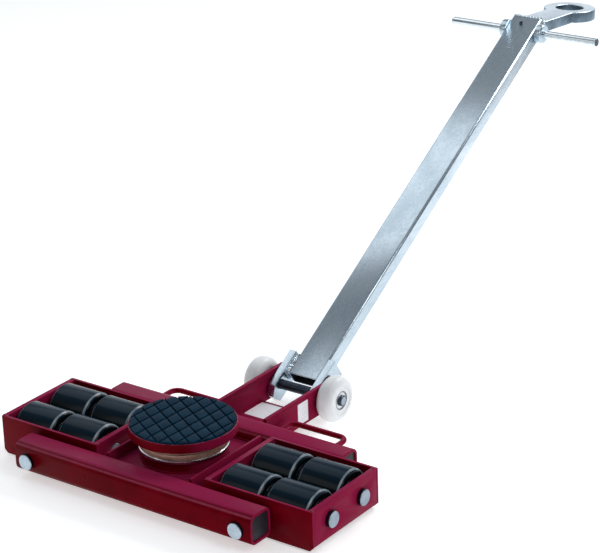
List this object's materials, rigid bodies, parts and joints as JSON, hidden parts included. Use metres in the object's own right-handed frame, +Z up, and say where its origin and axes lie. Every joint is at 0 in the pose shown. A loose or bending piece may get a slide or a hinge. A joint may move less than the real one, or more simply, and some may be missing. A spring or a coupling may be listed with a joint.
{
  "type": "steerable load skate",
  "caption": "Low steel skate for moving heavy loads: two rocking roller carriages under a rubber-topped turntable, steered by a hinged drawbar with a towing eye.",
  "frame": {"origin": "on the floor, under the turntable axis", "axes": "+X along the cross beams, +Y towards the drawbar, +Z up"},
  "size_m": [0.681, 1.5136, 0.5427],
  "materials": {
    "red_paint": "gloss dark red enamel",
    "zinc_steel": "zinc plated, satin",
    "pin_steel": "machined pin ends, zinc plated",
    "dark_steel": "dark oiled steel",
    "bright_steel": "turned bright steel",
    "bronze": "bronze, turned",
    "bearing_steel": "ground bearing steel",
    "roller_nylon": "smooth blue-black cast nylon",
    "pad_rubber": "ribbed blue-black rubber",
    "white_nylon": "white nylon",
    "black_plastic": "black moulded plastic"
  },
  "bodies": {
    "chassis": {"front_beam": "red_paint", "rear_beam": "red_paint", "beam_end_plugs": "black_plastic", "centre_plate": "red_paint", "left_rib": "red_paint", "right_rib": "red_paint", "turntable_hub": "red_paint", "bearing_seat": "bright_steel", "lower_race": "bronze", "king_bolt": "dark_steel", "king_bolt_washer": "dark_steel", "pivot_pins": "pin_steel", "left_arm": "red_paint", "right_arm": "red_paint", "bridge_plate": "red_paint", "left_carry_handle": "red_paint", "right_carry_handle": "red_paint", "hinge_axle": "dark_steel", "hinge_spacers": "dark_steel", "axle_circlips": "dark_steel"},
    "left_carriage": {"left_side_plates": "red_paint", "left_end_plates": "red_paint", "left_roller_axles": "pin_steel", "left_axle_spacers": "dark_steel"},
    "right_carriage": {"right_side_plates": "red_paint", "right_end_plates": "red_paint", "right_roller_axles": "pin_steel", "right_axle_spacers": "dark_steel"},
    "roller_left_front_inner_body": {"roller_left_front_inner": "roller_nylon", "bearings_left_front_inner": "bearing_steel"},
    "roller_left_front_outer_body": {"roller_left_front_outer": "roller_nylon", "bearings_left_front_outer": "bearing_steel"},
    "roller_left_rear_inner_body": {"roller_left_rear_inner": "roller_nylon", "bearings_left_rear_inner": "bearing_steel"},
    "roller_left_rear_outer_body": {"roller_left_rear_outer": "roller_nylon", "bearings_left_rear_outer": "bearing_steel"},
    "roller_right_front_inner_body": {"roller_right_front_inner": "roller_nylon", "bearings_right_front_inner": "bearing_steel"},
    "roller_right_front_outer_body": {"roller_right_front_outer": "roller_nylon", "bearings_right_front_outer": "bearing_steel"},
    "roller_right_rear_inner_body": {"roller_right_rear_inner": "roller_nylon", "bearings_right_rear_inner": "bearing_steel"},
    "roller_right_rear_outer_body": {"roller_right_rear_outer": "roller_nylon", "bearings_right_rear_outer": "bearing_steel"},
    "turntable": {"turntable_disc": "red_paint", "turntable_pad": "pad_rubber", "upper_race": "bearing_steel"},
    "ball_set": {"ball_cage": "bronze", "bearing_balls": "bearing_steel"},
    "drawbar": {"drawbar_tube": "zinc_steel", "drawbar_end_cap": "zinc_steel", "left_cheek": "zinc_steel", "right_cheek": "zinc_steel", "t_handle_bar": "zinc_steel", "handle_collars": "zinc_steel", "towing_eye": "zinc_steel"},
    "left_wheel": {"left_support_wheel": "white_nylon", "left_wheel_bearings": "bearing_steel"},
    "right_wheel": {"right_support_wheel": "white_nylon", "right_wheel_bearings": "bearing_steel"}
  },
  "joints": [
    {"name": "left_carriage_rock", "type": "hinge", "parent": "chassis", "child": "left_carriage", "pos_m": [-0.224, 0, 0.038], "axis": [0, 1, 0], "range_deg": [-2.5, 2.5]},
    {"name": "right_carriage_rock", "type": "hinge", "parent": "chassis", "child": "right_carriage", "pos_m": [0.224, 0, 0.038], "axis": [0, 1, 0], "range_deg": [-2.5, 2.5]},
    {"name": "roller_left_front_inner_spin", "type": "hinge", "parent": "left_carriage", "child": "roller_left_front_inner_body", "pos_m": [-0.176, -0.044, 0.0425], "axis": [1, 0, 0], "continuous": true},
    {"name": "roller_left_front_outer_spin", "type": "hinge", "parent": "left_carriage", "child": "roller_left_front_outer_body", "pos_m": [-0.272, -0.044, 0.0425], "axis": [1, 0, 0], "continuous": true},
    {"name": "roller_left_rear_inner_spin", "type": "hinge", "parent": "left_carriage", "child": "roller_left_rear_inner_body", "pos_m": [-0.176, 0.044, 0.0425], "axis": [1, 0, 0], "continuous": true},
    {"name": "roller_left_rear_outer_spin", "type": "hinge", "parent": "left_carriage", "child": "roller_left_rear_outer_body", "pos_m": [-0.272, 0.044, 0.0425], "axis": [1, 0, 0], "continuous": true},
    {"name": "roller_right_front_inner_spin", "type": "hinge", "parent": "right_carriage", "child": "roller_right_front_inner_body", "pos_m": [0.176, -0.044, 0.0425], "axis": [1, 0, 0], "continuous": true},
    {"name": "roller_right_front_outer_spin", "type": "hinge", "parent": "right_carriage", "child": "roller_right_front_outer_body", "pos_m": [0.272, -0.044, 0.0425], "axis": [1, 0, 0], "continuous": true},
    {"name": "roller_right_rear_inner_spin", "type": "hinge", "parent": "right_carriage", "child": "roller_right_rear_inner_body", "pos_m": [0.176, 0.044, 0.0425], "axis": [1, 0, 0], "continuous": true},
    {"name": "roller_right_rear_outer_spin", "type": "hinge", "parent": "right_carriage", "child": "roller_right_rear_outer_body", "pos_m": [0.272, 0.044, 0.0425], "axis": [1, 0, 0], "continuous": true},
    {"name": "turntable_spin", "type": "hinge", "parent": "chassis", "child": "turntable", "pos_m": [0, 0, 0.1], "axis": [0, 0, 1], "continuous": true},
    {"name": "ball_set_spin", "type": "hinge", "parent": "chassis", "child": "ball_set", "pos_m": [0, 0, 0.087], "axis": [0, 0, 1], "continuous": true},
    {"name": "drawbar_lift", "type": "hinge", "parent": "chassis", "child": "drawbar", "pos_m": [0, 0.3265, 0.0425], "axis": [1, 0, 0], "range_deg": [-25, 58.8]},
    {"name": "left_wheel_spin", "type": "hinge", "parent": "chassis", "child": "left_wheel", "pos_m": [-0.081, 0.3265, 0.0425], "axis": [1, 0, 0], "continuous": true},
    {"name": "right_wheel_spin", "type": "hinge", "parent": "chassis", "child": "right_wheel", "pos_m": [0.081, 0.3265, 0.0425], "axis": [1, 0, 0], "continuous": true}
  ],
  "couplings": [
    {"joint": "ball_set_spin", "follows": "turntable_spin", "ratio": 0.5}
  ]
}
